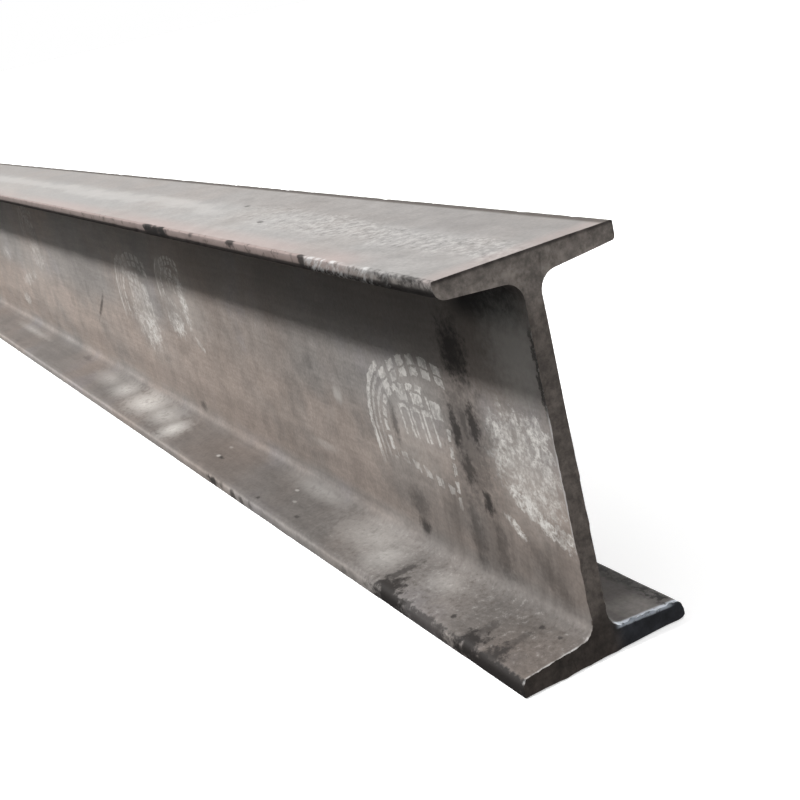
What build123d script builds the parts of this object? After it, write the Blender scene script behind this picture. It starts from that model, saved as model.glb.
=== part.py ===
from build123d import *
import os

# Hot-rolled steel I-beam with tapered flanges, one piece of stock cut square at both ends.
# Millimetres. The beam stands on its lower flange: +X runs along it, +Z is up, and the
# origin is at mid-length on the underside.

# Driving dimensions
beam_length = 6000.0  # a stock length
section_height = 200.0  # over both flanges
flange_width = 96.0  # from toe to toe
web_thickness = 10.0
flange_thickness = 11.4  # halfway between the web's face and the toe
slope_run = 12.0  # a flange's inner face falls 1 in this run, from the web to the toe
root_radius = 9.0  # hollow between web and flange
toe_radius = 3.0  # inner edge of a flange's toe
arris_radius = 1.5  # outer edge of a flange's toe

# Half sizes, measured from the section's centre
half_height = section_height / 2
half_flange = flange_width / 2
half_web = web_thickness / 2

# A flange is thickest at the web and thinnest at its toe
fall_to_middle = (half_flange - half_web) / 2 / slope_run
root_thickness = flange_thickness + fall_to_middle
toe_thickness = flange_thickness - fall_to_middle

# The toe's flat edge keeps this share of its thickness between the two rounded edges
toe_flat_share = 0.2
toe_round_limit = toe_thickness * (1 - toe_flat_share)
toe_rounding = min(1, toe_round_limit / (toe_radius + arris_radius))

# The section's plane, at the beam's far end and at half its height
section_plane = Plane(origin=(-beam_length / 2, 0, half_height), x_dir=(0, 1, 0), z_dir=(1, 0, 0))

with BuildPart() as i_beam:
    with BuildSketch(section_plane):
        # One quarter of the section: up the web, out under the flange, round its toe, back on top
        with BuildLine():
            FilletPolyline(
                (half_web, 0),
                (half_web, half_height - root_thickness),
                (half_flange, half_height - toe_thickness),
                (half_flange, half_height),
                (0, half_height),
                radius=[root_radius, toe_radius * toe_rounding, arris_radius * toe_rounding],
            )
            Polyline((0, half_height), (0, 0), (half_web, 0))
        make_face()
        # The other flange side and the lower half are its mirror images
        mirror(about=Plane.YZ)
        mirror(about=Plane.XZ)
    extrude(amount=beam_length)
i_beam.part.label = "i_beam"

os.makedirs("parts", exist_ok=True)
export_step(i_beam.part, "parts/i_beam.step")
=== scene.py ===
"""Looks of a length of hot-rolled steel I-beam: its worn mesh, its finishes, the light and the camera.

The beam runs along X, stands on its lower flange at Z = 0, and shows its near end at +X.
"""
import logging
import math
from dataclasses import dataclass
from enum import Enum
from functools import partial, reduce
from typing import Callable

import bmesh
import bpy
from mathutils import Matrix, Vector
from mathutils.kdtree import KDTree


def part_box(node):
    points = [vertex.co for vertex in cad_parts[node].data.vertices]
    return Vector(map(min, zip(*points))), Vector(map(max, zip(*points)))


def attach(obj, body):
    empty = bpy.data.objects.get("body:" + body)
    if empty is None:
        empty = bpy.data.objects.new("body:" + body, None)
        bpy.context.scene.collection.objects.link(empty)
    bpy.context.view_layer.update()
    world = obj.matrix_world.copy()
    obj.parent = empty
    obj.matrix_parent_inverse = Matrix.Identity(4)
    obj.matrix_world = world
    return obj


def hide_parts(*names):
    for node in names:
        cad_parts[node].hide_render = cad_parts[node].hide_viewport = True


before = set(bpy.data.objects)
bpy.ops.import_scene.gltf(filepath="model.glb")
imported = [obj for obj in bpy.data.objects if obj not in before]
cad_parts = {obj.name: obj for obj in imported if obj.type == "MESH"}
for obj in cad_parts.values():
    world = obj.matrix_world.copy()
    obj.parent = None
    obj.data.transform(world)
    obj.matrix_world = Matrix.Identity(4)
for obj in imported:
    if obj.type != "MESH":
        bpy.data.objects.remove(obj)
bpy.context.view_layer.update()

MM = 0.001
TINY = 0.01 * MM
# A normal or a direction with more than this along an axis counts as lying along it
ALONG = 0.9
log = logging.getLogger("i_beam")

Socket = bpy.types.NodeSocket
Part = Socket | float | tuple


class Element(Enum):
    """What an edit-mode selection picks."""

    VERT = "VERT"
    EDGE = "EDGE"
    FACE = "FACE"


class Axis(Enum):
    """The frame's axes, as indices into a vector."""

    X = 0
    Y = 1
    Z = 2


class Node(Enum):
    """The shader nodes in use: each one's type with its settings."""

    COORD = ("TexCoord", {})
    SURFACE = ("NewGeometry", {})
    SPLIT = ("SeparateXYZ", {})
    STRETCH = ("Mapping", {"vector_type": "TEXTURE"})
    TURN = ("VectorRotate", {"rotation_type": "Y_AXIS"})
    NOISE = ("TexNoise", {})
    BUMP = ("Bump", {})
    GROUP = ("Group", {})
    RAMP = ("MapRange", {"interpolation_type": "SMOOTHSTEP"})
    COAT = ("Mix", {"data_type": "RGBA"})
    SHADE = ("Mix", {"data_type": "RGBA", "blend_type": "MULTIPLY"})
    ADD = ("Math", {"operation": "ADD"})
    LESS = ("Math", {"operation": "SUBTRACT"})
    TIMES = ("Math", {"operation": "MULTIPLY"})
    LINE = ("Math", {"operation": "MULTIPLY_ADD"})
    QUOTIENT = ("Math", {"operation": "DIVIDE"})
    LARGER = ("Math", {"operation": "MAXIMUM"})
    SMALLER = ("Math", {"operation": "MINIMUM"})
    ABOVE = ("Math", {"operation": "GREATER_THAN"})
    BELOW = ("Math", {"operation": "LESS_THAN"})
    BAND = ("Math", {"operation": "COMPARE"})
    SINE = ("Math", {"operation": "SINE"})
    SIGN = ("Math", {"operation": "SIGN"})
    SIZE = ("Math", {"operation": "ABSOLUTE"})
    ANGLE = ("Math", {"operation": "ARCTAN2"})
    POWER = ("Math", {"operation": "POWER"})
    V_ADD = ("VectorMath", {"operation": "ADD"})
    V_LESS = ("VectorMath", {"operation": "SUBTRACT"})
    V_QUOTIENT = ("VectorMath", {"operation": "DIVIDE"})
    V_SCALE = ("VectorMath", {"operation": "SCALE"})
    V_LENGTH = ("VectorMath", {"operation": "LENGTH"})


def linear(code: str) -> tuple[float, float, float, float]:
    """Turns an sRGB hex colour into a linear one.

    Args:
        code: six hex digits after a hash.

    Returns:
        Linear red, green and blue, and an alpha of 1.
    """
    shares = [int(code[i:i + 2], 16) / 255 for i in (1, 3, 5)]
    return (*(s / 12.92 if s <= 0.04045 else ((s + 0.055) / 1.055) ** 2.4 for s in shares), 1.0)


class Net:
    """A node tree and the ways its nodes are wired."""

    def __init__(self, tree: bpy.types.NodeTree) -> None:
        """Takes the tree."""
        self.tree = tree

    def add(self, kind: Node, *feeds: object, out: str | None = None,
            group: bpy.types.NodeTree | None = None, **named: object) -> Socket:
        """Adds one node with its settings and links.

        Args:
            kind: the node's type and settings.
            *feeds: a socket to link or a value to set, for each input in use, in order.
            out: the output to hand back, or none for the first in use.
            group: the node group that a group node shows.
            **named: more feeds, by the input's name.

        Returns:
            The chosen output socket.
        """
        type_name, settings = kind.value
        node = self.tree.nodes.new("ShaderNode" + type_name)
        for name, value in settings.items():
            setattr(node, name, value)
        if group is not None:
            node.node_tree = group
        pairs = list(zip([s for s in node.inputs if s.enabled], feeds))
        pairs += [(node.inputs[name], value) for name, value in named.items()]
        for slot, value in pairs:
            if isinstance(value, Socket):
                self.tree.links.new(value, slot)
            else:
                slot.default_value = value
        return node.outputs[out] if out else next(s for s in node.outputs if s.enabled)

    def fold(self, kind: Node, *feeds: object) -> Socket:
        """Joins any number of feeds by nodes of one kind, two at a time."""
        return reduce(partial(self.add, kind), feeds)

    def share(self, *parts: Part) -> Socket:
        """Multiplies parts.

        Args:
            *parts: sockets, numbers and ramps. A ramp is a tuple of its socket, the values that it
                starts and ends at, and what it gives there, if not 0 and 1.

        Returns:
            Their product.
        """
        feeds = [self.add(Node.RAMP, *part) if isinstance(part, tuple) else part for part in parts]
        return self.fold(Node.TIMES, *feeds)


def new_group(name: str, inputs: dict[str, str],
              output: str) -> tuple[bpy.types.NodeTree, dict[str, Socket], Socket]:
    """Starts a node group.

    Args:
        name: the group's name.
        inputs: each input's name with its kind of socket.
        output: the name of its one number output.

    Returns:
        The group, its inputs' sockets by name, and its output's socket.
    """
    group = bpy.data.node_groups.new(name, "ShaderNodeTree")
    for label, kind in inputs.items():
        group.interface.new_socket(label, in_out="INPUT", socket_type="NodeSocket" + kind)
    group.interface.new_socket(output, in_out="OUTPUT", socket_type="NodeSocketFloat")
    entry = group.nodes.new("NodeGroupInput")
    leave = group.nodes.new("NodeGroupOutput")
    return group, {label: entry.outputs[label] for label in inputs}, leave.inputs[output]


def pick(kind: Element, test: Callable[[Vector, Vector], bool]) -> None:
    """Selects elements of the mesh in edit mode by where they are and which way they point.

    Args:
        kind: what to select.
        test: takes an element's middle and its normal, or an edge's direction.
    """
    bpy.ops.mesh.select_mode(type=kind.value)
    bpy.ops.mesh.select_all(action="DESELECT")
    mesh = bpy.context.edit_object.data
    shape = bmesh.from_edit_mesh(mesh)
    shape.normal_update()
    if kind is Element.VERT:
        found = [(v, v.co, v.normal) for v in shape.verts]
    elif kind is Element.EDGE:
        ends = [(e, e.verts[0].co, e.verts[1].co) for e in shape.edges]
        found = [(e, (a + b) / 2, (b - a).normalized()) for e, a, b in ends]
    else:
        found = [(f, f.calc_center_median(), f.normal) for f in shape.faces]
    for item, middle, way in found:
        if test(middle, way):
            item.select_set(True)
    shape.select_flush_mode()
    bmesh.update_edit_mesh(mesh)


def cut(axis: Axis, at: float) -> None:
    """Cuts the whole mesh in edit mode by a plane across an axis."""
    bpy.ops.mesh.select_all(action="SELECT")
    point = Vector((0, 0, 0))
    normal = Vector((0, 0, 0))
    point[axis.value] = at
    normal[axis.value] = 1
    bpy.ops.mesh.bisect(plane_co=point, plane_no=normal)


@dataclass(frozen=True)
class Stretch:
    """A stretch of the beam's length, in metres, and how finely its mesh is divided."""

    start: float
    end: float
    pitch: float


@dataclass(frozen=True)
class Sheet:
    """Where a stretch of the unrolled surface lies in the bake's map."""

    start: float
    end: float
    low: tuple[float, float]
    high: tuple[float, float]


@dataclass(frozen=True)
class Wear:
    """One kind of unevenness, pressed into the mesh.

    Attributes:
        name: the vertex group and texture.
        depth: the most that a point moves, in metres, inwards when negative.
        grain: size of the unevenness, in metres.
        floor: share of the noise below which nothing moves.
        way: direction of the move.
    """

    name: str
    depth: float
    grain: float
    floor: float
    way: str = "NORMAL"


@dataclass(frozen=True)
class Toe:
    """One of the flanges' four edges, with the radii that rolling and handling left on it."""

    side: int
    up: int
    inner: float
    outer: float


@dataclass
class RolledBeam:
    """The beam: one rolled section with tapered flanges, cut off at both ends.

    The near end's cut leans back by end_lean towards the top, as a share of the height. Root, toe
    and arris steps are the segments of each rounded edge, and crease is the sharpest angle, in
    degrees, that is shaded smooth.
    """

    length: float
    height: float
    flange_width: float
    web_thickness: float = 10 * MM
    flange_thickness: float = 11.4 * MM
    slope_run: float = 12.0
    root_radius: float = 9 * MM
    toes: tuple[Toe, ...] = (
        Toe(-1, 1, 6.5 * MM, 1.2 * MM),
        Toe(1, 1, 2.5 * MM, 1.2 * MM),
        Toe(-1, -1, 4.5 * MM, 1.2 * MM),
        Toe(1, -1, 4.0 * MM, 2.5 * MM),
    )
    root_steps: int = 6
    toe_steps: int = 5
    arris_steps: int = 3
    end_lean: float = 0.03
    crease: float = 32.0
    node: str = "i_beam"
    piece: bpy.types.Object | None = None

    @property
    def half_length(self) -> float:
        """Distance from mid-length to an end."""
        return self.length / 2

    @property
    def half_height(self) -> float:
        """Distance from the section's middle to a flange's outer face."""
        return self.height / 2

    @property
    def half_flange(self) -> float:
        """Distance from the section's middle to a toe."""
        return self.flange_width / 2

    @property
    def half_web(self) -> float:
        """Distance from the section's middle to the web's face."""
        return self.web_thickness / 2

    @property
    def half_fall(self) -> float:
        """How much a flange thins from the web to halfway out, and again from there to its toe."""
        return (self.half_flange - self.half_web) / 2 / self.slope_run

    @property
    def root_thickness(self) -> float:
        """Thickness of a flange at the web."""
        return self.flange_thickness + self.half_fall

    @property
    def toe_thickness(self) -> float:
        """Thickness of a flange at its toe."""
        return self.flange_thickness - self.half_fall

    def end_depth(self, point: Vector) -> float:
        """Distance of a point from the nearer end's cut."""
        near = self.half_length - point.x - self.end_lean * point.z
        return min(near, self.half_length + point.x)

    def build(self) -> bpy.types.Object:
        """Models the worn beam.

        Returns:
            The finished piece.
        """
        self.rough_out()
        self.round_edges()
        self.cut_end()
        self.divide()
        self.lay_out_map()
        self.press_in_wear()
        bpy.ops.object.shade_smooth_by_angle(angle=math.radians(self.crease))
        return self.piece

    def rough_out(self) -> None:
        """Pulls the flanges out of a block of the web's size and tapers them."""
        bpy.ops.object.select_all(action="DESELECT")
        bpy.ops.mesh.primitive_cube_add(
            size=1,
            location=(0, 0, self.half_height),
            scale=(self.length, self.web_thickness, self.height - 2 * self.root_thickness),
        )
        self.piece = bpy.context.object
        self.piece.name = "rolled_i_beam"
        self.piece.data.name = "rolled_i_beam"
        bpy.ops.object.transform_apply(location=True, rotation=True, scale=True)
        bpy.ops.object.mode_set(mode="EDIT")
        middle = self.half_height
        hollow = middle - self.root_thickness
        inside = middle - self.root_thickness / 2
        edge = self.half_flange - TINY
        for up in (1, -1):
            pick(Element.FACE, lambda c, n: n.z * up > ALONG and (c.z - middle) * up > 0)
            self.pull((0, 0, up * self.root_thickness))
            for side in (1, -1):
                pick(Element.FACE, lambda c, n: n.y * side > ALONG and (c.z - middle) * up > hollow)
                self.pull((0, side * (self.half_flange - self.half_web), 0))
                pick(Element.VERT,
                     lambda c, n: c.y * side > edge and 0 < (c.z - middle) * up < inside)
                bpy.ops.transform.translate(value=(0, 0, up * 2 * self.half_fall))
        # Each end and each outer flange face becomes one face
        for way in (1, -1):
            pick(Element.FACE, lambda c, n: n.x * way > ALONG)
            bpy.ops.mesh.dissolve_faces()
            pick(Element.FACE, lambda c, n: n.z * way > ALONG and abs(c.z - middle) > middle - TINY)
            bpy.ops.mesh.dissolve_faces()

    def pull(self, move: tuple[float, float, float]) -> None:
        """Extrudes the selected faces by a move."""
        bpy.ops.mesh.extrude_region_move(TRANSFORM_OT_translate={"value": move})

    def round_edges(self) -> None:
        """Rounds the root hollows, the toes' inner edges and their outer edges."""
        slope = math.atan(1 / self.slope_run)
        tangent = math.tan((math.pi / 2 - slope) / 2)
        middle = self.half_height
        hollow = middle - self.root_thickness
        inside = middle - self.toe_thickness
        rows = [(s * self.half_web, middle + u * hollow, self.root_radius * tangent, self.root_steps)
                for s in (1, -1) for u in (1, -1)]
        for toe in self.toes:
            across = toe.side * self.half_flange
            rows.append((across, middle + toe.up * inside, toe.inner * tangent, self.toe_steps))
            rows.append((across, middle + toe.up * middle, toe.outer, self.arris_steps))
        for across, level, offset, steps in rows:
            pick(Element.EDGE, lambda c, d: abs(d.x) > ALONG and abs(c.y - across) < TINY
                 and abs(c.z - level) < TINY)
            bpy.ops.mesh.bevel(offset=offset, offset_type="OFFSET", segments=steps,
                               profile=0.5, affect="EDGES", clamp_overlap=False)

    def cut_end(self) -> None:
        """Cuts the near end by hand, so that it leans back a little towards the top."""
        bpy.ops.mesh.select_all(action="SELECT")
        bpy.ops.mesh.bisect(plane_co=(self.half_length, 0, 0), plane_no=(1, 0, self.end_lean),
                            use_fill=True, clear_outer=True)

    def divide(self) -> None:
        """Divides the section and the length, finest at the near end."""
        rows = 7
        row = 6 * MM
        for k in range(-rows, rows + 1):
            cut(Axis.Y, k * row)
        courses = 6
        course = 12 * MM
        for k in range(-courses, courses + 1):
            cut(Axis.Z, self.half_height + k * course)
        end = self.half_length
        stretches = (
            Stretch(end - 0.010, end, 1.25 * MM),
            Stretch(end - 0.250, end - 0.010, 2.5 * MM),
            Stretch(end - 0.500, end - 0.250, 2.5 * MM),
            Stretch(end - 1.050, end - 0.500, 6 * MM),
            Stretch(end - 1.600, end - 1.050, 6 * MM),
            Stretch(-0.800, end - 1.600, 25 * MM),
            Stretch(-end + 0.050, -0.800, 25 * MM),
            Stretch(-end + 0.010, -end + 0.050, 5 * MM),
            Stretch(-end, -end + 0.010, 1.25 * MM),
        )
        for stretch in stretches[:-1]:
            cut(Axis.X, stretch.start)
        for stretch in stretches:
            pick(Element.EDGE, lambda c, d: abs(d.x) > ALONG and stretch.start < c.x < stretch.end)
            count = round((stretch.end - stretch.start) / stretch.pitch) - 1
            bpy.ops.mesh.subdivide(number_cuts=count)
        end_cuts = 2
        pick(Element.FACE, lambda c, n: abs(n.x) > ALONG)
        bpy.ops.mesh.subdivide(number_cuts=end_cuts)
        bpy.ops.mesh.select_all(action="SELECT")
        bpy.ops.mesh.remove_doubles(threshold=TINY / 10)
        bpy.ops.mesh.normals_make_consistent(inside=False)
        bpy.ops.object.mode_set(mode="OBJECT")

    def outline(self) -> list[Vector]:
        """Walks round the section at the near end.

        Returns:
            The outline's points in order.
        """
        shape = bmesh.new()
        shape.from_mesh(self.piece.data)
        shape.normal_update()
        rim = {}
        for edge in shape.edges:
            facing = [face.normal.x > ALONG for face in edge.link_faces]
            if any(facing) and not all(facing):
                a, b = edge.verts
                rim.setdefault(a.index, []).append(b.index)
                rim.setdefault(b.index, []).append(a.index)
        shape.verts.ensure_lookup_table()
        # The seam runs along the middle of the lower flange's underside
        start = min(rim, key=lambda i: abs(shape.verts[i].co.y) + shape.verts[i].co.z)
        order = [start]
        while True:
            ahead = [i for i in rim[order[-1]] if i not in order[-2:]]
            if not ahead or ahead[0] == start:
                break
            order.append(ahead[0])
        points = [shape.verts[i].co.copy() for i in order]
        shape.free()
        return points

    def lay_out_map(self) -> None:
        """Lays the unrolled surface out for the bake, with most room for the near stretch."""
        points = self.outline()
        around = [0.0]
        for a, b in zip(points, points[1:] + points[:1]):
            around.append(around[-1] + math.hypot(b.y - a.y, b.z - a.z))
        girth = around[-1]
        tree = KDTree(len(points))
        for i, point in enumerate(points):
            tree.insert((0, point.y, point.z), i)
        tree.balance()
        mesh = self.piece.data
        place = [around[tree.find((0, v.co.y, v.co.z))[1]] for v in mesh.vertices]
        end = self.half_length
        sheets = (
            Sheet(end - 1.35, end, (0.004, 0.490), (0.996, 0.996)),
            Sheet(-0.675, end - 1.35, (0.004, 0.248), (0.880, 0.482)),
            Sheet(-end, -0.675, (0.004, 0.006), (0.880, 0.240)),
        )
        cap_low = {1: (0.888, 0.260), -1: (0.888, 0.030)}
        layer = mesh.uv_layers.new(name="OFBake")
        for face in mesh.polygons:
            corners = [mesh.vertices[mesh.loops[loop].vertex_index] for loop in face.loop_indices]
            if abs(face.normal.x) > ALONG:
                low = cap_low[1 if face.normal.x > 0 else -1]
                for loop, corner in zip(face.loop_indices, corners):
                    across = corner.co.y + self.half_flange
                    layer.data[loop].uv = (low[0] + across, low[1] + corner.co.z)
                continue
            sheet = next(s for s in sheets if face.center.x > s.start)
            seats = [place[corner.index] for corner in corners]
            crosses = max(seats) - min(seats) > girth / 2
            for loop, corner, seat in zip(face.loop_indices, corners, seats):
                seat = seat + girth if crosses and seat < girth / 2 else seat
                along = (corner.co.x - sheet.start) / (sheet.end - sheet.start)
                layer.data[loop].uv = (
                    sheet.low[0] + along * (sheet.high[0] - sheet.low[0]),
                    sheet.low[1] + seat / girth * (sheet.high[1] - sheet.low[1]),
                )

    def group(self, name: str, weight: Callable[[Vector], float]) -> None:
        """Marks the points that one kind of wear moves.

        Args:
            name: the vertex group.
            weight: share of the wear that a point takes, by its place.
        """
        marked = self.piece.vertex_groups.new(name=name)
        for vertex in self.piece.data.vertices:
            share = weight(vertex.co)
            if share > 0:
                marked.add([vertex.index], share, "REPLACE")

    def on_near_cut(self, point: Vector) -> bool:
        """Tells whether a point lies on the near end's cut."""
        return point.x > 0 and self.end_depth(point) < TINY

    def burr(self, point: Vector) -> float:
        """Gives a point's share of the burr on the lower flange's inner edge at the near end.

        Args:
            point: a point of the mesh.

        Returns:
            A full share on the far wing, a small one on the near wing, else none.
        """
        lowest = 0.7 * self.toe_thickness
        highest = 1.6 * self.root_thickness
        if not self.on_near_cut(point) or not lowest < point.z < highest:
            return 0.0
        if 10 * MM < point.y < 42 * MM:
            return 1.0
        return 0.4 if -46 * MM < point.y < -10 * MM else 0.0

    def knocks(self, point: Vector) -> float:
        """Gives a point's share of the nicks: none inside the toes, most on the upper ones."""
        if abs(point.y) < self.half_flange - 1.5 * MM:
            return 0.0
        return 1.0 if point.z > self.half_height else 0.3

    def web_rim(self, point: Vector) -> float:
        """Gives a full share to the near edge of the web's cut between the root hollows."""
        hollow = self.root_thickness + self.root_radius
        level = hollow < point.z < self.height - hollow
        on_face = abs(point.y + self.half_web + TINY) < 3 * TINY
        return 1.0 if level and on_face and self.on_near_cut(point) else 0.0

    def press_in_wear(self) -> None:
        """Presses rolling waviness, edge nicks and the ends' cut relief into the mesh.

        All of it goes inwards, or stays between the flanges, so the beam keeps to its size.
        """
        self.group("rolled", lambda p: 1.0)
        self.group("toes", self.knocks)
        self.group("cut", lambda p: 1.0 if self.end_depth(p) < TINY else 0.0)
        self.group("burr", self.burr)
        self.group("rim", self.web_rim)
        wears = (
            Wear("rolled", -0.35 * MM, 70 * MM, 0.0),
            Wear("toes", -1.1 * MM, 11 * MM, 0.56),
            Wear("cut", -0.9 * MM, 7 * MM, 0.2),
            Wear("burr", 2.2 * MM, 4 * MM, 0.25, "Z"),
            Wear("rim", -0.7 * MM, 5 * MM, 0.2, "Y"),
        )
        # Share of the noise over which a wear grows from nothing to its full depth
        growth = 0.4
        bpy.ops.object.select_all(action="DESELECT")
        self.piece.select_set(True)
        bpy.context.view_layer.objects.active = self.piece
        for wear in wears:
            noise = bpy.data.textures.new(wear.name, type="CLOUDS")
            noise.noise_scale = wear.grain
            noise.noise_depth = 2
            noise.use_color_ramp = True
            start, full = noise.color_ramp.elements
            start.position = wear.floor
            start.color = (0, 0, 0, 1)
            full.position = min(1.0, wear.floor + growth)
            full.color = (1, 1, 1, 1)
            bpy.ops.object.modifier_add(type="DISPLACE")
            press = self.piece.modifiers[-1]
            press.name = wear.name
            press.texture = noise
            press.texture_coords = "LOCAL"
            press.vertex_group = wear.name
            press.direction = wear.way
            press.mid_level = 0
            press.strength = wear.depth
            bpy.ops.object.modifier_apply(modifier=press.name)
        self.piece.vertex_groups.clear()

    def dress(self, rolled: bpy.types.Material, cut_face: bpy.types.Material) -> None:
        """Gives the rolled faces one finish and the cut ends another.

        Args:
            rolled: finish of the rolled faces.
            cut_face: finish of the two ends.
        """
        relief = 1.8 * MM
        steep = 0.6
        mesh = self.piece.data
        mesh.materials.append(rolled)
        mesh.materials.append(cut_face)
        for face in mesh.polygons:
            at_end = self.end_depth(face.center) < relief and abs(face.normal.x) > steep
            face.material_index = 1 if at_end else 0

    def triangles(self) -> int:
        """Counts the piece's triangles."""
        self.piece.data.calc_loop_triangles()
        return len(self.piece.data.loop_triangles)

    def seat(self) -> None:
        """Puts the piece in the CAD node's place."""
        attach(self.piece, "root")
        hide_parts(self.node)


class Face(Enum):
    """Faces that take marks: the axis across each, its place there and a mark's reach, in millimetres."""

    WEB = (Axis.Y, -5, 9)
    FLANGE = (Axis.Z, 11, 30)
    TOE = (Axis.Y, -48, 4)
    FOOT = (Axis.Y, -48, 8)
    TOP = (Axis.Z, 200, 9)


@dataclass(frozen=True)
class Marks:
    """A set of soft oval marks on one face.

    Attributes:
        face: the web's near side, the lower flange's inner side, the upper or lower near toe, or the top.
        rough: how ragged their edges are, as a share of their reach.
        core: share of their reach that has the full strength.
        rows: each one's x from the near end's foot, its height or place across, half its length and
            half its breadth, in millimetres, its strength and, if it is turned, its turn in radians.
    """

    face: Face
    rough: float
    core: float
    rows: tuple[tuple[float, ...], ...]


@dataclass(frozen=True)
class Print:
    """A boot print in dust on the web's near face, in millimetres from the near end's foot."""

    x: float
    z: float
    half_width: float
    turn: float
    strength: float


WEB_STAINS = Marks(Face.WEB, 0.40, 0.20, (
    (-82, 143, 17, 24, 0.90),
    (-95, 98, 8, 21, 0.90),
    (-85, 104, 6, 18, 0.70),
    (-76, 105, 9.5, 20, 0.90),
    (-90, 77, 11, 17, 0.80),
    (-77, 62, 7.5, 11, 0.90),
    (-84, 96, 30, 52, 0.50),
    (-95, 40, 9, 36, 0.50),
    (-72, 34, 9, 30, 0.50),
    (-30, 36, 24, 10, 0.35, -0.7),
    (-167, 87, 5, 16, 0.60),
    (-157, 25, 9, 7, 0.80),
    (-158, 40, 15, 12, 0.45),
    (-277, 105, 10, 7, 0.25),
    (-112, 52, 16, 22, 0.25),
    (-786, 80, 32, 3.4, 0.65, 0.60),
    (-530, 25, 9, 6, 0.55),
))
FLANGE_STAINS = Marks(Face.FLANGE, 0.55, 0.40, (
    (-138, -46, 15, 14, 1.00),
    (-145, -32, 5, 17, 0.70),
    (-113, -47, 7, 4, 0.70),
    (-51, -46, 11, 14, 1.00),
    (-53, -33, 4, 13, 0.55),
    (-31, -45, 9, 14, 0.90),
    (-31, -30, 4, 14, 0.45),
    (-78, -37, 2.2, 2.0, 0.80),
    (-30, -15, 2.3, 1.6, 0.80),
    (-15, -15, 1.8, 1.3, 0.70),
    (-434, -30, 4.2, 2.0, 0.85),
    (-333, -42, 3.0, 1.8, 0.75),
    (-275, -38, 3.0, 1.8, 0.65),
    (-885, -13, 16, 5, 0.35),
))
TOE_CHIPS = Marks(Face.TOE, 0.40, 0.50, (
    (-394, 198, 13, 8, 1.00),
    (-380, 196, 12, 6, 1.00),
    (-367, 197, 13, 8, 1.00),
    (-307, 200, 4, 3, 0.60),
    (-238, 200, 8, 5, 0.90),
    (-139, 198, 6, 8, 0.90),
    (-46, 196, 7, 6, 0.65),
    (-20, 195, 10, 4, 0.50),
))
FOOT_CHIPS = Marks(Face.FOOT, 0.40, 0.40, (
    (-134, 5, 28, 14, 1.00),
    (-96, 5, 34, 14, 0.80),
    (-26, 5, 66, 14, 1.00),
    (-412, 4.5, 12, 4, 0.90),
    (-394, 5, 4, 4, 0.50),
    (-371, 2.5, 7, 5, 0.75),
    (-355, 3, 5, 5, 0.65),
    (-338, 4, 4, 4, 0.35),
    (-190, 3, 5, 4, 0.40),
))
TOP_SPOTS = Marks(Face.TOP, 0.35, 0.30, (
    (-347, 8, 5, 2.5, 0.55),
    (-272, -14, 5, 2.5, 0.60),
))
FLANGE_DUST = Marks(Face.FLANGE, 0.35, 0.0, (
    (-200, -20, 58, 22, 0.44),
    (-172, -27, 26, 22, 0.50),
    (-112, -22, 24, 14, 0.35),
    (-545, -31, 26, 20, 0.95),
    (-645, -23, 58, 24, 1.00),
    (-712, -22, 44, 18, 0.70),
    (-590, -24, 50, 20, 0.65),
    (-770, -20, 60, 16, 0.40),
    (-1120, -17, 110, 7, 0.42),
    (-295, -12, 62, 10, 0.30),
))
FLANGE_NICKS = Marks(Face.FLANGE, 0.2, 0.3, (
    (-441, -30, 3.6, 1.9, 0.40),
    (-314, -20, 3.6, 1.7, 0.30),
    (-299, -29, 3.6, 1.5, 0.20),
    (-445, -17, 3.6, 1.7, 0.18),
))
WEB_SMEARS = Marks(Face.WEB, 0.45, 0.65, (
    (-34, 93, 31, 29, 0.80),
    (-56, 106, 8, 12, 1.00),
    (-18, 110, 9, 14, 1.15),
    (-20, 86, 13, 22, 0.80),
    (-52, 86, 11, 14, 0.85),
    (-36, 69, 30, 6, 1.20, -0.43),
    (-11, 61, 8, 6, 1.15),
    (-54, 55, 10, 3.5, 1.00, -0.55),
    (-628, 90, 38, 32, 0.80),
    (-618, 82, 24, 16, 1.20),
    (-540, 96, 20, 12, 1.10),
    (-507, 118, 9, 26, 1.00),
    (-493, 84, 11, 3.2, 0.90, -0.49),
    (-1022, 112, 34, 18, 0.65),
    (-1105, 78, 46, 9, 0.80, 0.2),
    (-1165, 45, 18, 8, 0.80),
    (-1210, 100, 26, 10, 0.65),
))
WEB_HAZE_AND_LIGHT = Marks(Face.WEB, 0.2, 0.1, (
    # The first row is a painted pool of light in the shade under the upper flange by the end; the rest are
    # dust haze
    (-22, 152, 36, 34, 0.62),
    (-148, 94, 62, 50, 0.28),
    (-508, 112, 70, 36, 0.30),
    (-240, 90, 9, 7, 0.55),
    (-34, 88, 38, 40, 0.38),
    (-632, 95, 60, 50, 0.30),
    (-1060, 95, 120, 40, 0.20),
    (-282, 47, 24, 5, 0.25),
    (-655, 132, 30, 18, 0.42),
    (-545, 142, 22, 15, 0.38),
))
WEB_PRINTS = (
    Print(-145, 82, 53, 0.20, 0.95),
    Print(-645, 98, 54, 0.05, 0.80),
    Print(-533, 124, 33, 0.05, 0.95),
    Print(-1028, 138, 36, 0.00, 0.60),
)


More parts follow.
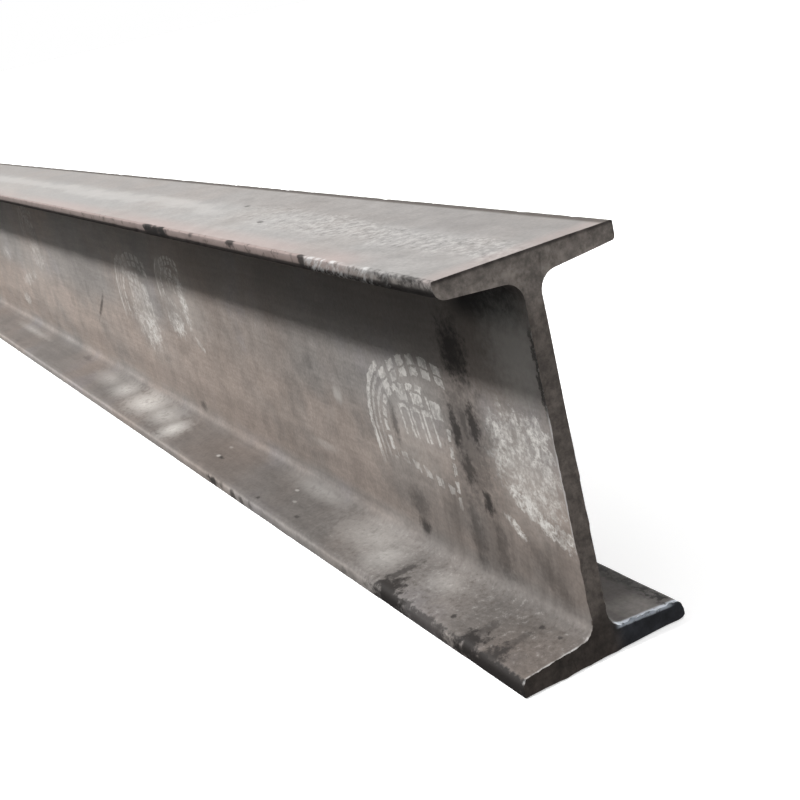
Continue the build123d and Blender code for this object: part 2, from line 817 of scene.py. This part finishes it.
class Canvas(Net):
    """A finish's nodes, with the colour so far and what the layers read: the spot and some noises.

    The spot is counted from the near end's foot, in millimetres, and so is every length in a layer.
    """

    def __init__(self, name: str, ground: str, beam: RolledBeam) -> None:
        """Starts the material.

        Args:
            name: the material's name.
            ground: the colour under all layers.
            beam: gives the places of the section's faces.
        """
        self.material = bpy.data.materials.new(name)
        self.material.use_nodes = True
        super().__init__(self.material.node_tree)
        self.shader = self.tree.nodes["Principled BSDF"]
        self.skin = linear(ground)
        place = self.add(Node.V_SCALE, self.add(Node.COORD, out="Object"), 1 / MM)
        self.spot = self.add(Node.V_LESS, place, (beam.half_length / MM, 0, 0))
        self.x, self.y, self.z = self.add(Node.SPLIT, self.spot).node.outputs
        # How far inside the leaning cut of the near end
        self.depth = self.add(Node.LESS, self.share(self.z, -beam.end_lean), self.x)
        # Weathering in blotches a hand wide, mottling the size of a thumbnail and fine grain. A noise's
        # scale is one over its grain's size
        self.blotch = self.add(Node.NOISE, self.spot, Scale=1 / 180, Detail=3.0)
        self.patch = self.add(Node.NOISE, place, Scale=1 / 70, Detail=4.0, Roughness=0.6)
        self.mottle = self.add(Node.NOISE, self.spot, Scale=1 / 12, Detail=4.0, Roughness=0.6)
        self.grain = self.add(Node.NOISE, self.spot, Scale=1 / 2.2, Detail=2.0)
        self.fleck = self.add(Node.NOISE, self.spot, Scale=1 / 5, Detail=4.0, Roughness=0.7)

    def lay(self, kind: Node, colour: str | Socket, *parts: Part) -> None:
        """Lays a colour over the skin, or multiplies the skin by it.

        Args:
            kind: how, COAT or SHADE.
            colour: the colour, as a hex value or from a node.
            *parts: their product is the share that it takes.
        """
        over = linear(colour) if isinstance(colour, str) else colour
        self.skin = self.add(kind, self.share(*parts), self.skin, over)

    def vary(self, *parts: Part) -> None:
        """Makes the skin paler or darker by the product of the parts."""
        self.lay(Node.SHADE, self.share(*parts), 1.0)

    def finish(self, matt: Socket, bump: Socket, metallic: float, strength: float, depth: float) -> None:
        """Feeds the shader.

        Args:
            matt: its roughness.
            bump: height of its fine relief.
            metallic: share of metal.
            strength: strength of the relief.
            depth: depth of the relief, in metres.
        """
        relief = self.add(Node.BUMP, Strength=strength, Distance=depth, Height=bump)
        for name, source in (("Base Color", self.skin), ("Roughness", matt), ("Normal", relief)):
            self.tree.links.new(source, self.shader.inputs[name])
        self.shader.inputs["Metallic"].default_value = metallic


class BeamFaces:
    """Shares that tell the section's faces apart, each 1 on its face and 0 elsewhere."""

    def __init__(self, canvas: Canvas, beam: RolledBeam) -> None:
        """Works the shares out from the spot.

        Args:
            canvas: the nodes they go into.
            beam: gives the places of the faces.
        """
        share, y, z = canvas.share, canvas.y, canvas.z
        top = beam.height / MM
        side = -beam.half_flange / MM
        web = -beam.half_web / MM
        facing = canvas.add(Node.SPLIT, canvas.add(Node.SURFACE, out="Normal"), out="Z")
        self.top = share((z, top - 3.2, top - 1.0))
        self.lower = share((facing, 0.35, 0.85), (z, 50, 20))
        self.near_lower = share(self.lower, (y, 0.0, -4))
        self.web = share((z, 20, 30), (z, top - 18, top - 28))
        self.near_web = share((y, web + 2.5, web + 0.8), (y, web - 9, web - 2.5), (z, 12, 22))
        # All of the near side below the upper flange's outer face
        self.under = share((y, 0.0, web), (z, top - 5, top - 8))
        self.toe = share((y, side + 3.2, side + 1.9), (z, top - 20, top - 14))
        uneven = canvas.add(Node.ADD, y, share((canvas.fleck, 0.3, 0.7, -1.2, 1.2)))
        self.foot = share((uneven, side + 3.8, side + 1.4), (z, 20, 12))
        self.rim = share((canvas.depth, 2.6, 1.2))


@dataclass(frozen=True)
class MillScaleSteel:
    """Hot-rolled steel in its mill scale: matt, blotchy warm grey, dusty where it faces up.

    Rolling leaves a hard oxide skin that hides the metal's shine. It weathers in blotches, flakes
    into rough pale patches, and takes dust, boot prints and stains in the yard.
    """

    scale: str = "#8E8985"
    warm: str = "#9B8E85"
    cool: str = "#868284"
    dust: str = "#969492"
    dull: str = "#F0EEED"
    flake: str = "#B2AFAC"
    pink: str = "#A5948F"
    rust: str = "#8C7D78"
    pale: str = "#D6D3CE"
    # The dirt, stain and corner colours also serve as painted shade under the upper flange, along the near
    # upper toe and on the far lower wing
    dirt_and_shade: str = "#4B443F"
    stain_and_shade: str = "#25211F"
    corner_shade: str = "#151210"
    bright: str = "#CBCAC9"
    slag: str = "#DCE2EA"
    metallic: float = 0.2
    relief: float = 0.8
    relief_depth: float = 1 * MM

    def material(self, beam: RolledBeam) -> bpy.types.Material:
        """Builds the finish of the beam's rolled faces."""
        return MillScaleCoat(self, beam).material


class MillScaleCoat(Canvas):
    """The layers of mill scale and of what the yard left on it, from the oxide up, with painted shade under
    the upper flange, along the near upper toe and on the far lower wing, and a painted pool of light under
    the flange by the end.
    """

    def __init__(self, steel: MillScaleSteel, beam: RolledBeam) -> None:
        """Lays all layers.

        Args:
            steel: the colours.
            beam: gives the places of the section's faces.
        """
        super().__init__("mill_scale_steel", steel.scale, beam)
        self.steel = steel
        self.faces = BeamFaces(self, beam)
        self.oval = self.oval_group()
        self.oxide()
        self.run_marks_and_painted_shade()
        self.dusty_top()
        self.grimy_and_shaded_edges()
        # The pale layer on the web is dust, with a painted pool of light under the upper flange by the end
        dust = self.web_dust_and_light()
        self.lay(Node.COAT, steel.pale, dust)
        self.flange_dust()
        self.stains()
        bare = self.bare_metal()
        self.lay(Node.COAT, steel.bright, bare)
        # Bluish slag on the far lower wing's rim
        self.lay(Node.COAT, steel.slag, self.faces.lower, (self.depth, 5.0, 2.6), (self.y, 6, 10),
                 (self.fleck, 0.34, 0.48, 0.2, 1.0))
        # Dust is dead matt, scraped metal has a sheen
        matt = self.fold(Node.ADD, self.share((self.mottle, 0.25, 0.75, 0.60, 0.76)),
                         self.share(dust, 0.2), self.share(bare, -0.25))
        # Mottling and flecks stand up by tenths of a millimetre
        bump = self.fold(Node.ADD, self.share(self.mottle, 0.22), self.share(self.grain, 0.08),
                         self.share(self.fleck, 0.14))
        self.finish(matt, bump, steel.metallic, steel.relief, steel.relief_depth)

    def oval_group(self) -> bpy.types.NodeTree:
        """Builds the node group that draws one soft oval mark with a ragged edge."""
        group, given, result = new_group(
            "oval_mark",
            {"Spot": "Vector", "Middle": "Vector", "Reach": "Vector", "Ragged": "Float", "Core": "Float",
             "Strength": "Float"},
            "Mark",
        )
        net = Net(group)
        apart = net.add(Node.V_LESS, given["Spot"], given["Middle"])
        distance = net.add(Node.V_LENGTH, net.add(Node.V_QUOTIENT, apart, given["Reach"]))
        edge = net.add(Node.ADD, distance, given["Ragged"])
        group.links.new(net.share((edge, 1.1, given["Core"], 0.0, given["Strength"])), result)
        return group

    def tread_group(self) -> bpy.types.NodeTree:
        """Builds the node group that draws the front of a boot's tread.

        The tread is a generic one: lugs over the toe, plain lines down its outer side, a ring of
        dashes inside them, and blocks and short bars across the ball of the foot.

        Returns:
            The group, which works in half widths of the boot from the print's middle.
        """
        group, given, result = new_group(
            "boot_tread",
            {"Spot": "Vector", "Middle": "Vector", "Turn": "Float", "Width": "Float", "Ragged": "Vector"},
            "Tread",
        )
        net = Net(group)
        add, share = net.add, net.share

        def beat(way: Socket, count: float, shift: float = 0.0) -> Socket:
            """Swings a number of times in each half width, shifted along its way."""
            rate = count * math.tau
            return add(Node.SINE, add(Node.LINE, way, rate, shift * rate))

        apart = add(Node.V_LESS, given["Spot"], given["Middle"])
        uneven = add(Node.V_ADD, apart, given["Ragged"])
        turned = add(Node.TURN, uneven, Angle=given["Turn"])
        across, _, ahead = add(Node.SPLIT, add(Node.V_QUOTIENT, turned, given["Width"])).node.outputs
        # Rings round the toe, blunter on its inner side, run on as straight lines behind it
        blunt = share((across, -0.2, 0.2, 2.3, 4.5))
        front = share(add(Node.LARGER, ahead, 0.0), 1.09)
        bulk = add(Node.ADD, add(Node.POWER, add(Node.SIZE, across), blunt), add(Node.POWER, front, blunt))
        ring = add(Node.POWER, bulk, add(Node.QUOTIENT, 1.0, blunt))
        back = share(add(Node.SIGN, across), add(Node.SMALLER, ahead, 0.0))
        along = add(Node.LESS, add(Node.ANGLE, across, front), back)
        # Six lugs stand over the toe, and lines run down its outer side
        swing = beat(across, 4, 0.1175)
        lug = share(add(Node.ABOVE, swing, -0.45), add(Node.BAND, across, 0.28, 0.73))
        lean = add(Node.LESS, across, 0.3)
        crown = add(Node.LINE, share(lean, lean), 0.33, ahead)
        behind = share((ahead, -0.35, -0.05))
        side = share((along, -0.36, -0.46), behind)
        faint = share(side, 0.6)
        dash = share(add(Node.ABOVE, beat(along, 3.6), -0.65), behind, add(Node.BELOW, along, 0.7))
        # Across the ball lie blocks, then bars that show as thin outlines, then a slanting row of spots
        level = add(Node.LINE, across, 0.2, ahead)
        core = add(Node.BAND, across, 0.19, 0.37)
        block = share(add(Node.ABOVE, beat(across, 3.125, 0.08), -0.60), core)
        outline = share(add(Node.BAND, swing, -0.50, 0.38), core)
        capping = share(add(Node.ABOVE, swing, -0.55), core)
        slant = add(Node.LINE, across, 0.375, ahead)
        spots = share(add(Node.ABOVE, beat(across, 4.6), -0.20), add(Node.BAND, across, 0.05, 0.60), 0.65)
        inner = add(Node.LINE, ahead, -0.29, across)
        heelward = share(add(Node.ABOVE, beat(ahead, 5.5), -0.60), add(Node.BELOW, ahead, 0.15))
        # Each row of the tread: what it follows, where it lies, half its breadth and what breaks it up
        rows = (
            (crown, 0.86, 0.055, lug),
            (crown, 0.73, 0.048, lug),
            (ring, 0.965, 0.040, side),
            (ring, 0.86, 0.022, faint),
            (ring, 0.75, 0.022, faint),
            (ring, 0.62, 0.040, dash),
            (level, 0.44, 0.090, add(Node.BAND, across, 0.68, 0.100)),
            (level, 0.49, 0.070, block),
            (level, 0.19, 0.170, outline),
            (level, 0.36, 0.025, capping),
            (slant, -0.36, 0.055, spots),
            (inner, 0.78, 0.035, heelward),
        )
        drawn = [share(add(Node.BAND, way, at, half), broken) for way, at, half, broken in rows]
        group.links.new(share(net.fold(Node.LARGER, *drawn), (ahead, -0.85, -0.50)), result)
        return group

    def gather(self, marks: Marks) -> Socket:
        """Draws a set of oval marks and keeps the strongest at each spot.

        Args:
            marks: the marks.

        Returns:
            The share of the marks at each spot.
        """
        axis, level, reach = marks.face.value
        ragged = self.share((self.fleck, 0.2, 0.8, -marks.rough, marks.rough))
        drawn = []
        for x, other, half_x, half_other, strength, *turn in marks.rows:
            middle = [x, other]
            middle.insert(axis.value, level)
            half = [half_x, half_other]
            half.insert(axis.value, reach)
            spot = self.add(Node.TURN, self.spot, Center=middle, Angle=turn[0]) if turn else self.spot
            drawn.append(self.add(Node.GROUP, group=self.oval, Spot=spot, Middle=middle, Reach=half,
                                  Ragged=ragged, Core=marks.core, Strength=strength))
        return self.fold(Node.LARGER, *drawn)

    def oxide(self) -> None:
        """Lays the oxide skin: blotches, mottling, grain and faint lines from the rolls."""
        steel, z = self.steel, self.z
        self.lay(Node.COAT, steel.warm, (self.blotch, 0.38, 0.64, 0.0, 0.7))
        self.lay(Node.COAT, steel.cool, (self.patch, 0.50, 0.70, 0.0, 0.5))
        # The web is greyer above half height and warmer below, and it is darker towards its foot
        self.lay(Node.COAT, steel.warm, self.faces.web, (z, 105, 75), (self.patch, 0.3, 0.6, 0.25, 0.75))
        self.lay(Node.SHADE, steel.dirt_and_shade, (z, 58, 36, 0.0, 0.22), (z, 13, 18))
        # Lines from the rolls, about 70 mm long and 4 mm apart
        lines = self.add(Node.STRETCH, self.spot, Scale=(70, 4, 4))
        rolled = self.add(Node.NOISE, lines, Scale=1.0, Detail=3.0, Roughness=0.6)
        self.vary((self.patch, 0.25, 0.75, 0.88, 1.10), (self.mottle, 0.25, 0.75, 0.90, 1.10),
                  (self.grain, 0.25, 0.75, 0.90, 1.10), (rolled, 0.25, 0.75, 0.93, 1.07))
        # It grows paler away from the near end
        self.vary((self.x, -200, -1000, 1.0, 1.38))

    def run_marks_and_painted_shade(self) -> None:
        """Runs dirty water down the web near the end, 9 mm wide, and paints shade under the upper flange,
        black in the corner by the end.
        """
        steel, faces, x, z = self.steel, self.faces, self.x, self.z
        drawn = self.add(Node.STRETCH, self.spot, Rotation=(0, 0.12, 0), Scale=(9, 60, 80))
        streak = self.add(Node.NOISE, drawn, Scale=1.0, Detail=3.0)
        dark = self.share((x, -200, -110), (z, 85, 45), faces.near_web, (streak, 0.38, 0.66, 0.16, 0.42))
        # Painted shade under the upper flange, deepening towards the end, laid in the dirt colour together
        # with the run marks
        under_flange_shade = self.share((z, 128, 150), (x, -600, -150, 0.12, 0.48), faces.under)
        self.lay(Node.COAT, steel.dirt_and_shade, self.add(Node.LARGER, dark, under_flange_shade))
        # Painted shade: near black in the corner under the upper flange by the end
        self.lay(Node.COAT, steel.corner_shade, faces.under, (z, 157, 172), (x, -85, -60), (x, -6, -22, 0.35, 0.96))

    def dusty_top(self) -> None:
        """Covers the upper flange with dust, flaked along its middle near the end."""
        steel, top, x, y = self.steel, self.faces.top, self.x, self.y
        brightness = self.share((self.mottle, 0.25, 0.75, 0.93, 1.07), (self.grain, 0.25, 0.75, 0.94, 1.06),
                                (x, -320, -80, 1.0, 0.89))
        dust = self.add(Node.SHADE, 1.0, linear(steel.dust), brightness)
        self.lay(Node.COAT, dust, top, (self.patch, 0.25, 0.65, 0.65, 0.95))
        # The far half is duller, and a smoother, paler streak runs along the middle, further back
        self.lay(Node.SHADE, steel.dull, top, (y, 0, 16))
        wander = self.add(Node.ADD, y, self.share((self.patch, 0.2, 0.8, -8, 12)))
        aside = self.add(Node.SIZE, self.add(Node.ADD, wander, 3))
        self.lay(Node.COAT, steel.flake, top, (aside, 12, 3), (x, -300, -420, 0.0, 0.4))
        # Flakes about 5 mm across
        flaked = self.share(top, (wander, -24, -10), (wander, 16, 6), (x, -420, -200))
        self.lay(Node.COAT, steel.flake, flaked, (self.fleck, 0.48, 0.60, 0.0, 0.55))
        self.lay(Node.COAT, steel.stain_and_shade, flaked, (self.fleck, 0.44, 0.34, 0.0, 0.35))
        # Rust bloom by the cut, and a dirty line along the far edge
        self.lay(Node.COAT, steel.pink, top, (self.depth, 18, 4, 0.0, 0.35))
        self.lay(Node.COAT, steel.dirt_and_shade, top, (y, 40.2, 43.5, 0.0, 0.92))

    def grimy_and_shaded_edges(self) -> None:
        """Dulls the lower flange and the near toes, paints shade along the near upper toe and on the far
        lower wing, and blooms the upper near edge.
        """
        steel, faces, fleck = self.steel, self.faces, self.fleck
        x, y, z = self.x, self.y, self.z
        # Warm bloom along the upper flange's near edge, and over its toe
        self.lay(Node.COAT, steel.pink, (y, -26, -44), (z, 180, 188), (x, -60, -110),
                 (self.patch, 0.30, 0.60, 0.25, 0.60))
        self.lay(Node.COAT, steel.rust, faces.toe, (x, -132, -146, 0.0, 0.75))
        self.lay(Node.COAT, steel.dirt_and_shade, faces.toe, (fleck, 0.46, 0.34, 0.0, 0.60))
        # Painted shade: black along the toe's lower edge, where its rounding turns away from the light, and
        # dark mottling over the toe at the end
        self.lay(Node.COAT, steel.stain_and_shade, faces.toe, (z, 196, 194.5, 0.0, 0.85))
        self.lay(Node.COAT, steel.stain_and_shade, faces.toe, (x, -75, -50), (fleck, 0.58, 0.42, 0.1, 0.7))
        # Grime on the near lower flange, gritty at the end
        grime_and_shade = self.add(Node.ADD, self.share((x, -120, -260, 0.46, 0.63)),
                         self.share((x, -100, -50, 0.0, 0.19)))
        self.lay(Node.SHADE, steel.dirt_and_shade, faces.near_lower, grime_and_shade)
        # Grit about 3.5 mm across, dark grains and some pale ones
        grains = self.add(Node.NOISE, self.spot, Scale=1 / 3.5, Detail=4.0, Roughness=0.75)
        strewn = self.share(faces.near_lower, (x, -320, -120, 0.15, 1.0))
        self.lay(Node.COAT, steel.dirt_and_shade, strewn, (grains, 0.50, 0.32, 0.0, 0.65))
        self.lay(Node.COAT, steel.pale, strewn, (grains, 0.54, 0.74, 0.0, 0.20))
        # The far lower wing is darkened by painted shade by the web, and darker away from the end, with
        # specks of dirt along its edge
        grime_and_shade = self.add(Node.LARGER, self.share((y, 26, 10, 0.22, 0.64)),
                         self.share((self.depth, 11, 32, 0.22, 0.75)))
        self.lay(Node.SHADE, steel.dirt_and_shade, faces.lower, (y, 0, 4), grime_and_shade)
        self.lay(Node.COAT, steel.stain_and_shade, faces.lower, (y, 33, 41), (fleck, 0.58, 0.42, 0.35, 1.0))

    def web_dust_and_light(self) -> Socket:
        """Draws the pale dust on the web: boot prints, scuffed patches and haze, with a painted pool of
        light in the shade under the upper flange by the end.

        Returns:
            The share of dust and painted light at each spot.
        """
        speckle = self.add(Node.NOISE, self.spot, Scale=1 / 3.4, Detail=4.0, Roughness=0.7)
        # Scuffs are thin winding lines over a film of dust
        curl = self.add(Node.NOISE, self.spot, Scale=1 / 5, Detail=3.0, Roughness=0.6, Distortion=0.8)
        off_line = self.add(Node.SIZE, self.add(Node.LESS, curl, 0.5))
        film = self.add(Node.ADD, self.share((off_line, 0.085, 0.015, 0.0, 0.34)),
                        self.share((speckle, 0.36, 0.62, 0.06, 0.60)))
        scuffs = self.share(self.gather(WEB_SMEARS), film, (self.mottle, 0.34, 0.60, 0.40, 1.40))
        # Haze of dust, and one painted pool of light under the upper flange by the end
        haze = self.share(self.gather(WEB_HAZE_AND_LIGHT), 0.8)
        # The prints lie apart along the beam, so one tread takes the place and shape of each in turn, as
        # far as it reaches, in half widths
        reach = 1.25
        middles = []
        shapes = []
        for mark in WEB_PRINTS:
            here = self.add(Node.BAND, self.x, mark.x, reach * mark.half_width)
            middles.append(self.add(Node.V_SCALE, (mark.x, 0, mark.z), here))
            shapes.append(self.add(Node.V_SCALE, (mark.turn, mark.half_width, mark.strength), here))
        turn, width, strength = self.add(Node.SPLIT, self.fold(Node.V_ADD, *shapes)).node.outputs
        # Their edges waver by a few millimetres
        waver = self.add(Node.NOISE, self.spot, out="Color", Scale=1 / 5, Detail=4.0, Roughness=0.7)
        jitter = self.add(Node.V_SCALE, self.add(Node.V_LESS, waver, (0.5, 0.5, 0.5)), 5.5)
        tread = self.add(Node.GROUP, group=self.tread_group(), Spot=self.spot,
                         Middle=self.fold(Node.V_ADD, *middles), Turn=turn, Width=width, Ragged=jitter)
        prints = self.share(tread, strength, (speckle, 0.38, 0.56, 0.35, 1.0),
                            (self.mottle, 0.30, 0.50, 0.70, 1.0))
        return self.share(self.fold(Node.LARGER, scuffs, haze, prints), self.faces.near_web, 0.88)

    def flange_dust(self) -> None:
        """Strews pale dust over the near lower flange, in patches and in small nicks."""
        near = self.faces.near_lower
        patches = self.share(self.gather(FLANGE_DUST), near, (self.fleck, 0.30, 0.65, 0.28, 0.78))
        nicks = self.share(self.gather(FLANGE_NICKS), near)
        self.lay(Node.COAT, self.steel.pale, self.add(Node.LARGER, patches, nicks))

    def stains(self) -> None:
        """Stains the web, the flanges and the near toes, and cracks the web's edge."""
        faces, z = self.faces, self.z
        # A ragged crack runs down the web just inside the cut
        inset = self.add(Node.ADD, self.depth, self.share((self.fleck, 0.3, 0.7, -1.6, 1.6)))
        crack = self.share(faces.near_web, (inset, 0.4, 1.6), (inset, 4.4, 2.6),
                           (z, 118, 128), (z, 170, 160), 0.75)
        drawn = self.fold(
            Node.LARGER,
            crack,
            self.share(self.gather(WEB_STAINS), faces.near_web),
            self.gather(FLANGE_STAINS),
            self.share(self.gather(TOE_CHIPS), faces.toe),
            self.share(self.gather(FOOT_CHIPS), faces.foot),
            self.gather(TOP_SPOTS),
        )
        self.lay(Node.COAT, self.steel.stain_and_shade, drawn)

    def bare_metal(self) -> Socket:
        """Bares the metal: scrapes across the near toe and the near end's rim.

        Returns:
            The share of bare metal at each spot.
        """
        faces, x, z = self.faces, self.x, self.z
        # Scrapes lean forward, about 9 mm long and 2.4 mm wide, and come in patches
        slant = self.add(Node.STRETCH, self.spot, Rotation=(0, -0.6, 0), Scale=(9, 40, 2.4))
        scrape = self.add(Node.NOISE, slant, Scale=1.0, Detail=3.0, Roughness=0.65)
        bare = self.share(faces.toe, (x, -138, -130), (x, -50, -80, 0.3, 1.0),
                          self.add(Node.BELOW, x, -45), (self.mottle, 0.40, 0.56, 0.25, 1.0),
                          (scrape, 0.45, 0.62, 0.0, 0.85))
        web = self.share(faces.near_web, (z, 54, 64), (z, 130, 120), 0.75)
        wing = self.share(faces.lower, (self.y, -6, -10, 0.0, 0.6))
        rims = self.share(self.add(Node.LARGER, web, wing), faces.rim, (self.fleck, 0.38, 0.55, 0.2, 1.0))
        return self.add(Node.LARGER, bare, rims)


@dataclass(frozen=True)
class FlameCutSteel:
    """A flame-cut end: dark burnt oxide with fine drag lines, bluish where it got hottest."""

    burnt: str = "#746C66"
    pale: str = "#8B837D"
    brown: str = "#4A433E"
    blue: str = "#323439"
    pink: str = "#A3958F"
    slag: str = "#C6CED8"
    metallic: float = 0.25
    relief: float = 0.7
    relief_depth: float = 0.5 * MM

    def material(self, beam: RolledBeam) -> bpy.types.Material:
        """Builds the material.

        Args:
            beam: gives the places of the section's faces.

        Returns:
            The finish of the beam's cut ends.
        """
        coat = Canvas("flame_cut_steel", self.burnt, beam)
        y, z, fleck, mottle = coat.y, coat.z, coat.fleck, coat.mottle
        top = beam.height / MM
        coat.lay(Node.COAT, self.pale, (z, 165, 188))
        low = coat.share((z, 34, 14))
        coat.lay(Node.COAT, self.brown, low)
        coat.lay(Node.COAT, self.blue, low, (y, 2, 14))
        coat.vary((mottle, 0.25, 0.75, 0.75, 1.25), (fleck, 0.25, 0.75, 0.60, 1.40))
        # Pinkish flecks on the upper wings
        coat.lay(Node.COAT, self.pink, (fleck, 0.54, 0.66, 0.0, 0.45), (z, 180, 190),
                 (coat.add(Node.SIZE, y), 8, 30))
        # The upper edge is burnt darkest
        coat.vary((z, top - 2.6, top - 1.0, 1.0, 0.45))
        # Slag hangs along the far lower wing's inner edge
        level = coat.add(Node.LINE, y, 1 / beam.slope_run, z)
        edge = (beam.root_thickness + beam.half_web / beam.slope_run) / MM
        coat.lay(Node.COAT, self.slag, low, (level, edge - 2.0, edge - 0.8), (y, 7, 11), (y, 44, 38),
                 (fleck, 0.35, 0.50, 0.25, 1.0))
        # Drag lines of the flame, about 2.5 mm apart
        lines = coat.add(Node.STRETCH, coat.spot, Scale=(30, 2.5, 30))
        bump = coat.add(Node.ADD, coat.add(Node.NOISE, lines, Scale=1.0, Detail=3.0), mottle)
        matt = coat.share((mottle, 0.3, 0.7, 0.55, 0.75))
        coat.finish(matt, bump, self.metallic, self.relief, self.relief_depth)
        return coat.material


@dataclass(frozen=True)
class Sun:
    """A soft light from afar: its strength, its width as seen from the beam, in degrees, and its way."""

    name: str
    strength: float
    softness: float
    way: tuple[float, float, float]


@dataclass
class Studio:
    """Pale floor and backdrop, a soft key light from the near side, two weak fills and a pale sky."""

    suns: tuple[Sun, ...] = (
        Sun("key", 3.95, 6.0, (0.12, 0.53, -0.84)),
        Sun("fill", 0.5, 60.0, (-0.97, 0.0, -0.24)),
        Sun("back", 1.0, 20.0, (0.55, -0.83, -0.04)),
    )
    sun_place: tuple[float, float, float] = (0, -3, 4)
    floor_size: float = 240.0
    floor_colour: str = "#ECECEC"
    floor_glow: float = 0.42
    backdrop_radius: float = 110.0
    backdrop_colour: str = "#000000"
    backdrop_glow: float = 1.0
    glow_colour: str = "#FFFFFF"
    roughness: float = 0.9
    sky_low: float = 0.03
    sky_rise: float = 1.5
    ground: float = 0.06

    def build(self) -> None:
        """Makes the floor, the lights, the backdrop and the sky."""
        self.lay_floor()
        for sun in self.suns:
            self.hang_light(sun)
        self.hang_backdrop()
        self.paint_sky()
        bpy.context.scene.view_settings.view_transform = "Standard"

    def paint(self, piece: bpy.types.Object, name: str, colour: str, glow: float) -> None:
        """Gives a piece of the stage a matt, glowing paint, and keeps it from lighting the beam.

        Args:
            piece: the piece.
            name: the paint's name.
            colour: its colour.
            glow: strength of its glow.
        """
        paint = bpy.data.materials.new(name)
        paint.use_nodes = True
        inputs = paint.node_tree.nodes["Principled BSDF"].inputs
        inputs["Base Color"].default_value = linear(colour)
        inputs["Roughness"].default_value = self.roughness
        inputs["Specular IOR Level"].default_value = 0.0
        inputs["Emission Color"].default_value = linear(self.glow_colour)
        inputs["Emission Strength"].default_value = glow
        piece.data.materials.append(paint)
        piece.visible_diffuse = False
        piece.visible_glossy = False

    def lay_floor(self) -> None:
        """Makes the floor, which lights nothing back, so the beam keeps its deep shade."""
        bpy.ops.object.select_all(action="DESELECT")
        bpy.ops.mesh.primitive_plane_add(size=self.floor_size, location=(0, 0, 0))
        floor = bpy.context.object
        floor.name = "floor"
        self.paint(floor, "floor_paint", self.floor_colour, self.floor_glow)

    def hang_backdrop(self) -> None:
        """Makes a white backdrop all round, which is only seen and lights nothing."""
        bpy.ops.object.select_all(action="DESELECT")
        bpy.ops.mesh.primitive_uv_sphere_add(segments=48, ring_count=24, radius=self.backdrop_radius)
        backdrop = bpy.context.object
        backdrop.name = "backdrop"
        self.paint(backdrop, "backdrop_cloth", self.backdrop_colour, self.backdrop_glow)
        backdrop.visible_shadow = False

    def hang_light(self, sun: Sun) -> None:
        """Adds a soft light from afar."""
        bpy.ops.object.light_add(type="SUN", location=self.sun_place)
        light = bpy.context.object
        light.name = sun.name
        light.data.energy = sun.strength
        light.data.angle = math.radians(sun.softness)
        light.rotation_euler = Vector(sun.way).to_track_quat("-Z", "Y").to_euler()

    def paint_sky(self) -> None:
        """Makes a sky that is brightest overhead, with a thin pale haze along the horizon."""
        world = bpy.data.worlds.new("sky")
        bpy.context.scene.world = world
        world.use_nodes = True
        net = Net(world.node_tree)
        rise = net.add(Node.SPLIT, net.add(Node.COORD, out="Generated"), out="Z")
        overhead = net.add(Node.LINE, net.add(Node.POWER, rise, 2.0), self.sky_rise, self.sky_low)
        sky = net.share(overhead, (rise, -0.02, 0.0))
        haze = net.share((rise, -0.02, -0.005), (rise, 0.09, 0.06))
        background = world.node_tree.nodes["Background"].inputs
        net.tree.links.new(net.fold(Node.LARGER, sky, self.ground, haze), background["Strength"])
        background["Color"].default_value = linear(self.glow_colour)


@dataclass
class PhotoCamera:
    """The camera at the photograph's viewing angle, near the +X end and a little rolled."""

    place: tuple[float, float, float] = (3.44587, -0.2832, 0.31929)
    ahead: tuple[float, float, float] = (-0.86197, 0.40064, -0.31065)
    up: tuple[float, float, float] = (-0.18014, 0.33074, 0.92637)
    lens: float = 56.863
    sensor: float = 36.0
    nearest: float = 0.01
    furthest: float = 1000.0

    def build(self) -> None:
        """Adds the camera and makes it the scene's own."""
        bpy.ops.object.camera_add(location=self.place)
        camera = bpy.context.object
        camera.name = "camera"
        camera.data.sensor_width = self.sensor
        camera.data.lens = self.lens
        camera.data.clip_start = self.nearest
        camera.data.clip_end = self.furthest
        back = -Vector(self.ahead).normalized()
        right = Vector(self.up).cross(back).normalized()
        above = back.cross(right)
        turn = Matrix((right, above, back)).transposed()
        camera.matrix_world = Matrix.LocRotScale(Vector(self.place), turn.to_quaternion(), None)
        bpy.context.scene.camera = camera


def main() -> None:
    """Builds the beam, dresses it, and sets the light and the camera."""
    logging.basicConfig(level=logging.INFO, format="%(name)s: %(message)s")
    low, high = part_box("i_beam")
    size = high - low
    beam = RolledBeam(size.x, size.z, size.y)
    piece = beam.build()
    beam.dress(MillScaleSteel().material(beam), FlameCutSteel().material(beam))
    beam.seat()
    log.info("%s: %d points, %d triangles", piece.name, len(piece.data.vertices), beam.triangles())
    Studio().build()
    PhotoCamera().build()


if __name__ == "__main__":
    main()
